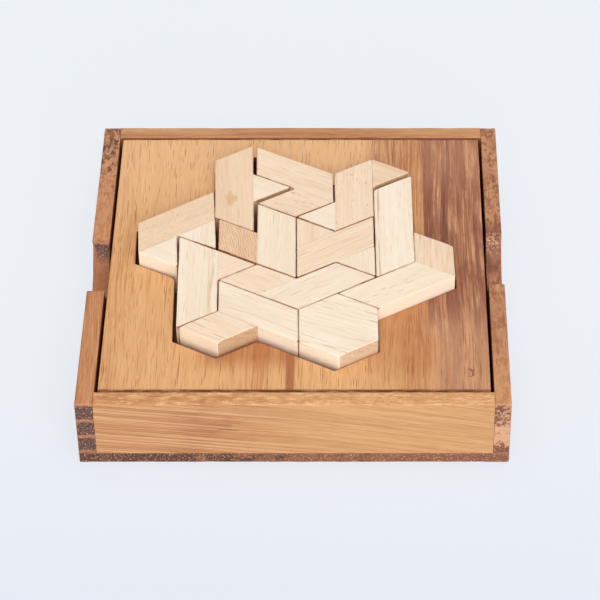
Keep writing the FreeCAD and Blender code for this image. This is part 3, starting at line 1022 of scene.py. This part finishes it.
def side_wall(node, lip, seed, material):
    low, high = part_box(node)
    outer_low = low.x < 0
    inner = (high.x if outer_low else low.x) / MM
    rim = high.z / MM
    foot = low.z / MM
    half_length = high.y / MM
    loop = facing(flat_loops(node, 0, inner)[0], True)
    samples = outline(loop, [1.0] * len(loop), [0.6] * len(loop))

    def outer_arris(p):
        if p.y < foot + 0.1:
            return BARELY
        if p.y < rim - 0.4 and abs(p.x) < half_length - 1:
            return lip
        return WALL_ROUND

    def inner_arris(p):
        return BARELY if p.y < foot + 0.1 else WALL_INNER_ROUND

    rounds = (outer_arris, inner_arris) if outer_low else (inner_arris, outer_arris)
    wall = worn_piece("worn_" + node, [samples], low.x / MM, high.x / MM, side_place,
                      rounds[0], rounds[1], seed, levels=4, rough=0.12)
    stand_in(wall, node, material)


def flat_board(node, seed, material, roundness):
    """A plain board that lies flat."""
    low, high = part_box(node)
    samples = outline(rectangle(low, high, 0, 1), [1.0] * 4, [roundness] * 4)
    board = worn_piece("worn_" + node, [samples], low.z / MM, high.z / MM, upright_place,
                       lambda p: roundness, lambda p: roundness, seed)
    stand_in(board, node, material)


def end_wall(node, seed, material):
    """A front or back wall between the side walls: only its rim and outer face are rounded."""
    low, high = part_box(node)
    samples = outline(rectangle(low, high, 0, 2), [0.2, 0.2, 1.0, 0.2], [BARELY] * 4)
    below_rim = high.z / MM - 0.5

    def outer(p):
        return WALL_ROUND if p.y > below_rim else BARELY

    def inner(p):
        return WALL_INNER_ROUND if p.y > below_rim else BARELY

    rounds = (outer, inner) if high.y < 0 else (inner, outer)
    wall = worn_piece("worn_" + node, [samples], low.y / MM, high.y / MM, end_place,
                      rounds[0], rounds[1], seed, levels=4)
    stand_in(wall, node, material)


side_wall("left_wall", LIP_LEFT, 50,
          golden_wood("wood_left_wall", 90.0, AMBER, AMBER_DARK, 3, streak=0.7, extra=left_figure,
                      end_light=(160, 108, 80), end_dark=(88, 58, 54), end_figure=banded_end))
side_wall("right_wall", LIP_RIGHT, 51,
          golden_wood("wood_right_wall", 90.0, RUSSET, RUSSET_DARK, 4, extra=right_figure,
                      end_light=(206, 156, 120), end_dark=(120, 70, 50),
                      end_figure=pale_middle_end))
end_wall("front_wall", 52,
         golden_wood("wood_front_wall", 0.0, HONEY, HONEY_DARK, 5, lean=0.14, pores=0.2,
                     extra=front_figure))
end_wall("back_wall", 53,
         golden_wood("wood_back_wall", 0.0, BACK, BACK_DARK, 6, pores=0.5, bands=0.8,
                     extra=back_figure))
flat_board("base_board", 54,
           golden_wood("wood_base_board", 90.0, WALNUT, WALNUT_DARK, 7, end_light=(128, 79, 56),
                       end_dark=(84, 48, 38), end_figure=darker_left_end), BASE_ROUND)
flat_board("front_rail", 55, golden_wood("wood_front_rail", 0.0, GOLD, GOLD_DARK, 8), RAIL_ROUND)
flat_board("back_rail", 56, golden_wood("wood_back_rail", 0.0, GOLD, GOLD_DARK, 9), RAIL_ROUND)

# ---------------------------------------------------------------- studio
FLOOR_HALF = 2.5
FLOOR_GLOW = 0.76          # the floor is a light table, so that it shows hardly any shadow
SKY = (1.0, 0.99, 0.97, 1.0)
SKY_STRENGTH = 0.5
LENS = 158.94
SIDE_SHIFT = -0.09707
CAMERA_SPOT = (0.01937, -0.62439, 0.57738)
CAMERA_TILT = 47.57        # degrees up from looking straight down

floor_mesh = bmesh.new()
bmesh.ops.create_grid(floor_mesh, x_segments=8, y_segments=8, size=FLOOR_HALF)
floor_data = bpy.data.meshes.new("floor")
floor_mesh.to_mesh(floor_data)
floor_mesh.free()
floor = bpy.data.objects.new("floor", floor_data)
bpy.context.scene.collection.objects.link(floor)
paper = Graph("paper")
paper_point = paper.point()
paper_tone = paper.noise(paper_point, (160.0, 160.0, 160.0), 1.0)
paper.surface(paper.mix(paper_tone, shade(106, 108, 112), shade(108, 110, 114)), 0.9, 0.1)
# painted shade: the floor's glow is a little dimmer and bluer towards the front
front_dimming = paper.steps(paper.parts(paper_point)[1], 40.0, -260.0)
paper.put(paper.bsdf.inputs["Emission Color"],
          paper.mix(front_dimming, shade(245, 250, 255), shade(227, 235, 248)))
paper.bsdf.inputs["Emission Strength"].default_value = FLOOR_GLOW
floor_data.materials.append(paper.material)


def soft_box(name, spot, target, size, watts, colour):
    data = bpy.data.lights.new(name, "AREA")
    data.shape = "DISK"
    data.size = size
    data.energy = watts
    data.color = colour
    lamp = bpy.data.objects.new(name, data)
    lamp.location = spot
    aim = Vector(target) - Vector(spot)
    lamp.rotation_euler = aim.to_track_quat("-Z", "Y").to_euler()
    bpy.context.scene.collection.objects.link(lamp)


soft_box("front", (0.3, -1.7, 1.0), (0, 0, 0), 1.8, 33.0, (1.0, 0.99, 0.985))
soft_box("overhead", (0.0, 0.0, 1.8), (0, 0, 0), 2.0, 10.0, (1.0, 0.99, 0.975))

world = bpy.data.worlds.new("studio")
bpy.context.scene.world = world
world.use_nodes = True
sky = world.node_tree.nodes["Background"]
sky.inputs["Color"].default_value = SKY
sky.inputs["Strength"].default_value = SKY_STRENGTH

camera_data = bpy.data.cameras.new("camera")
camera_data.sensor_width = 36.0
camera_data.lens = LENS
camera_data.shift_x = SIDE_SHIFT
camera = bpy.data.objects.new("camera", camera_data)
camera.location = CAMERA_SPOT
camera.rotation_euler = (math.radians(CAMERA_TILT), 0.0, 0.0)
bpy.context.scene.collection.objects.link(camera)
bpy.context.scene.camera = camera
bpy.context.scene.view_settings.view_transform = "Standard"
